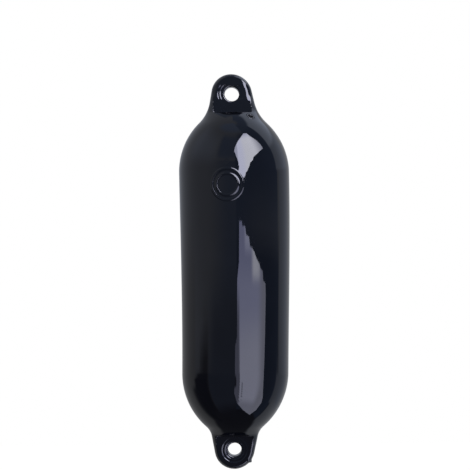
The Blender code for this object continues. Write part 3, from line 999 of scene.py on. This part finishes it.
def light_panel(name, corners, patches, material):
    """A soft light panel, in rings of points from its middle out to its corners."""
    count = len(corners)
    middle = [sum(corner[axis] for corner in corners) / count for axis in (0, 1)]
    places = [tuple(middle)]
    for ring in range(1, PANEL_RINGS + 1):
        share = ring / PANEL_RINGS
        for corner in corners:
            place = tuple(middle[axis] + (corner[axis] - middle[axis]) * share for axis in (0, 1))
            places.append(place)
    faces = [(0, 1 + index, 1 + (index + 1) % count) for index in range(count)]
    for ring in range(PANEL_RINGS - 1):
        start = 1 + ring * count
        for index in range(count):
            after = (index + 1) % count
            faces.append((start + index, start + count + index, start + count + after, start + after))
    panel = glowing_object(name, places, faces, PANEL_DISTANCE, patches, PANEL_GREEN, material)
    panel.visible_diffuse = False


def panel_corners(skin_tree, ends, outline):
    """Corners of a panel, with more points along each of its edges."""
    corners = []
    for index, finish in enumerate(outline):
        start = outline[index - 1]
        for part in range(PANEL_EDGE_PARTS):
            share = part / PANEL_EDGE_PARTS
            across = start[0] + (finish[0] - start[0]) * share
            down = start[1] + (finish[1] - start[1]) * share
            corners.append(panel_corner(skin_tree, ends, across, down))
    return corners


def surround(patches, material):
    """All else that the gloss shows: bounce cards and flags, seen only in reflections."""
    across = round(360 / SURROUND_STEP)
    above = round(180 / SURROUND_STEP)
    places = []
    for row in range(above + 1):
        for column in range(across + 1):
            places.append((column * SURROUND_STEP - 180, row * SURROUND_STEP - 90))
    faces = []
    wide = across + 1
    for row in range(above):
        for column in range(across):
            first = row * wide + column
            faces.append((first, first + 1, first + 1 + wide, first + wide))
    made = glowing_object(
        "surround", places, faces, SURROUND_DISTANCE, patches, SURROUND_GREEN, material,
    )
    made.visible_diffuse = False
    made.visible_transmission = False
    made.visible_volume_scatter = False
    made.visible_shadow = False


def white_to_view(tree):
    """One for camera, glossy and transmission rays, and nought for the rest."""
    rays = tree.nodes.new("ShaderNodeLightPath")
    total = rays.outputs["Is Camera Ray"]
    for name in ("Is Glossy Ray", "Is Transmission Ray"):
        larger = tree.nodes.new("ShaderNodeMath")
        larger.operation = "MAXIMUM"
        tree.links.new(total, larger.inputs[0])
        tree.links.new(rays.outputs[name], larger.inputs[1])
        total = larger.outputs["Value"]
    return total


def studio_world():
    """A world that shows as white and lights the object gently."""
    world = bpy.data.worlds.new("studio")
    bpy.context.scene.world = world
    world.use_nodes = True
    tree = world.node_tree
    background = tree.nodes["Background"]
    background.inputs["Color"].default_value = (1.0, 1.0, 1.0, 1.0)
    level = tree.nodes.new("ShaderNodeMapRange")
    level.inputs["To Min"].default_value = WORLD_LEVEL
    level.inputs["To Max"].default_value = 1.0
    tree.links.new(white_to_view(tree), level.inputs["Value"])
    tree.links.new(level.outputs["Result"], background.inputs["Strength"])


def studio_floor():
    """A pale floor that shows as white, with the object's faint shadow."""
    material = bpy.data.materials.new("pale_floor")
    material.use_nodes = True
    tree = material.node_tree
    tree.nodes.clear()
    matte = tree.nodes.new("ShaderNodeBsdfDiffuse")
    matte.inputs["Color"].default_value = (FLOOR_GREY, FLOOR_GREY, FLOOR_GREY, 1.0)
    shaded = tree.nodes.new("ShaderNodeBsdfDiffuse")
    shadow = (FLOOR_SHADOW_GREY, FLOOR_SHADOW_GREY, FLOOR_SHADOW_GREY, 1.0)
    shaded.inputs["Color"].default_value = shadow
    white = tree.nodes.new("ShaderNodeEmission")
    white.inputs["Strength"].default_value = 1.0
    both = tree.nodes.new("ShaderNodeAddShader")
    mix = tree.nodes.new("ShaderNodeMixShader")
    output = tree.nodes.new("ShaderNodeOutputMaterial")
    tree.links.new(shaded.outputs["BSDF"], both.inputs[0])
    tree.links.new(white.outputs["Emission"], both.inputs[1])
    tree.links.new(white_to_view(tree), mix.inputs["Fac"])
    tree.links.new(matte.outputs["BSDF"], mix.inputs[1])
    tree.links.new(both.outputs["Shader"], mix.inputs[2])
    tree.links.new(mix.outputs["Shader"], output.inputs["Surface"])
    signs = [(-1, -1), (1, -1), (1, 1), (-1, 1)]
    verts = [(x * FLOOR_REACH, y * FLOOR_REACH, FLOOR_HEIGHT) for x, y in signs]
    stage_object("floor", verts, [(0, 1, 2, 3)], material)


def studio(skin_tree, ends):
    """White background, two soft panels, and the surround that shows in the gloss."""
    studio_world()
    studio_floor()
    material = glow()
    upper = panel_corners(skin_tree, ends, UPPER_PANEL_SEEN)
    lower = panel_corners(skin_tree, ends, LOWER_PANEL_SEEN)
    light_panel("upper_panel", upper, UPPER_PANEL_LIGHT, material)
    light_panel("lower_panel", lower, LOWER_PANEL_LIGHT, material)
    surround(SURROUND_LIGHT, material)


def camera():
    """The photograph's viewpoint: level with the fender's middle, rolled very slightly."""
    data = bpy.data.cameras.new("camera")
    data.angle = 2 * math.atan(VIEW_WIDTH / 2 / -CAMERA_PLACE.y)
    made = bpy.data.objects.new("camera", data)
    made.location = CAMERA_PLACE
    made.rotation_euler = (math.radians(90), CAMERA_ROLL, 0)
    bpy.context.collection.objects.link(made)
    bpy.context.scene.camera = made


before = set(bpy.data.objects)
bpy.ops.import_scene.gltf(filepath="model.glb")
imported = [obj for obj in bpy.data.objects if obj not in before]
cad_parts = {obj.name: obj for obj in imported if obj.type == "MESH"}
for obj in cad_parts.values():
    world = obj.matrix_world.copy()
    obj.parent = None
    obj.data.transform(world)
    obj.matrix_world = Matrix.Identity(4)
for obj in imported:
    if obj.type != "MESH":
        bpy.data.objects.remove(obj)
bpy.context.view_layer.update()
ends = shell_ends()
shell = object_from(shell_mesh(ends), "fender_skin")
bpy.context.view_layer.update()
skin_tree = BVHTree.FromObject(shell, bpy.context.evaluated_depsgraph_get())
pocket = valve_pocket()
valve_place = valve_frame(ends[0])
pocket.matrix_world = valve_place
cut(shell, pocket)
seat = valve_seat()
plug = valve_plug()
shell_finish = vinyl()
seat_finish = valve_plastic("dark_valve_seat", SEAT_COLOURS, SEAT_ROUGHNESS, SEAT_SHINE)
plug_finish = valve_plastic("black_valve_plug", PLUG_COLOURS, PLUG_ROUGHNESS, PLUG_SHINE)
finishes = [
    (shell, "fender_shell", "shell_vinyl", shell_finish),
    (seat, "valve_seat", "valve_seat", seat_finish),
    (plug, "valve_plug", "valve_plug", plug_finish),
]
for piece in (seat, plug):
    piece.data.transform(valve_place)
for piece, node, slot, material in finishes:
    piece.data.materials.clear()
    piece.data.materials.append(material)
    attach(piece, "root")
    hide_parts(node)
studio(skin_tree, ends)
camera()
bpy.context.scene.view_settings.view_transform = "Standard"
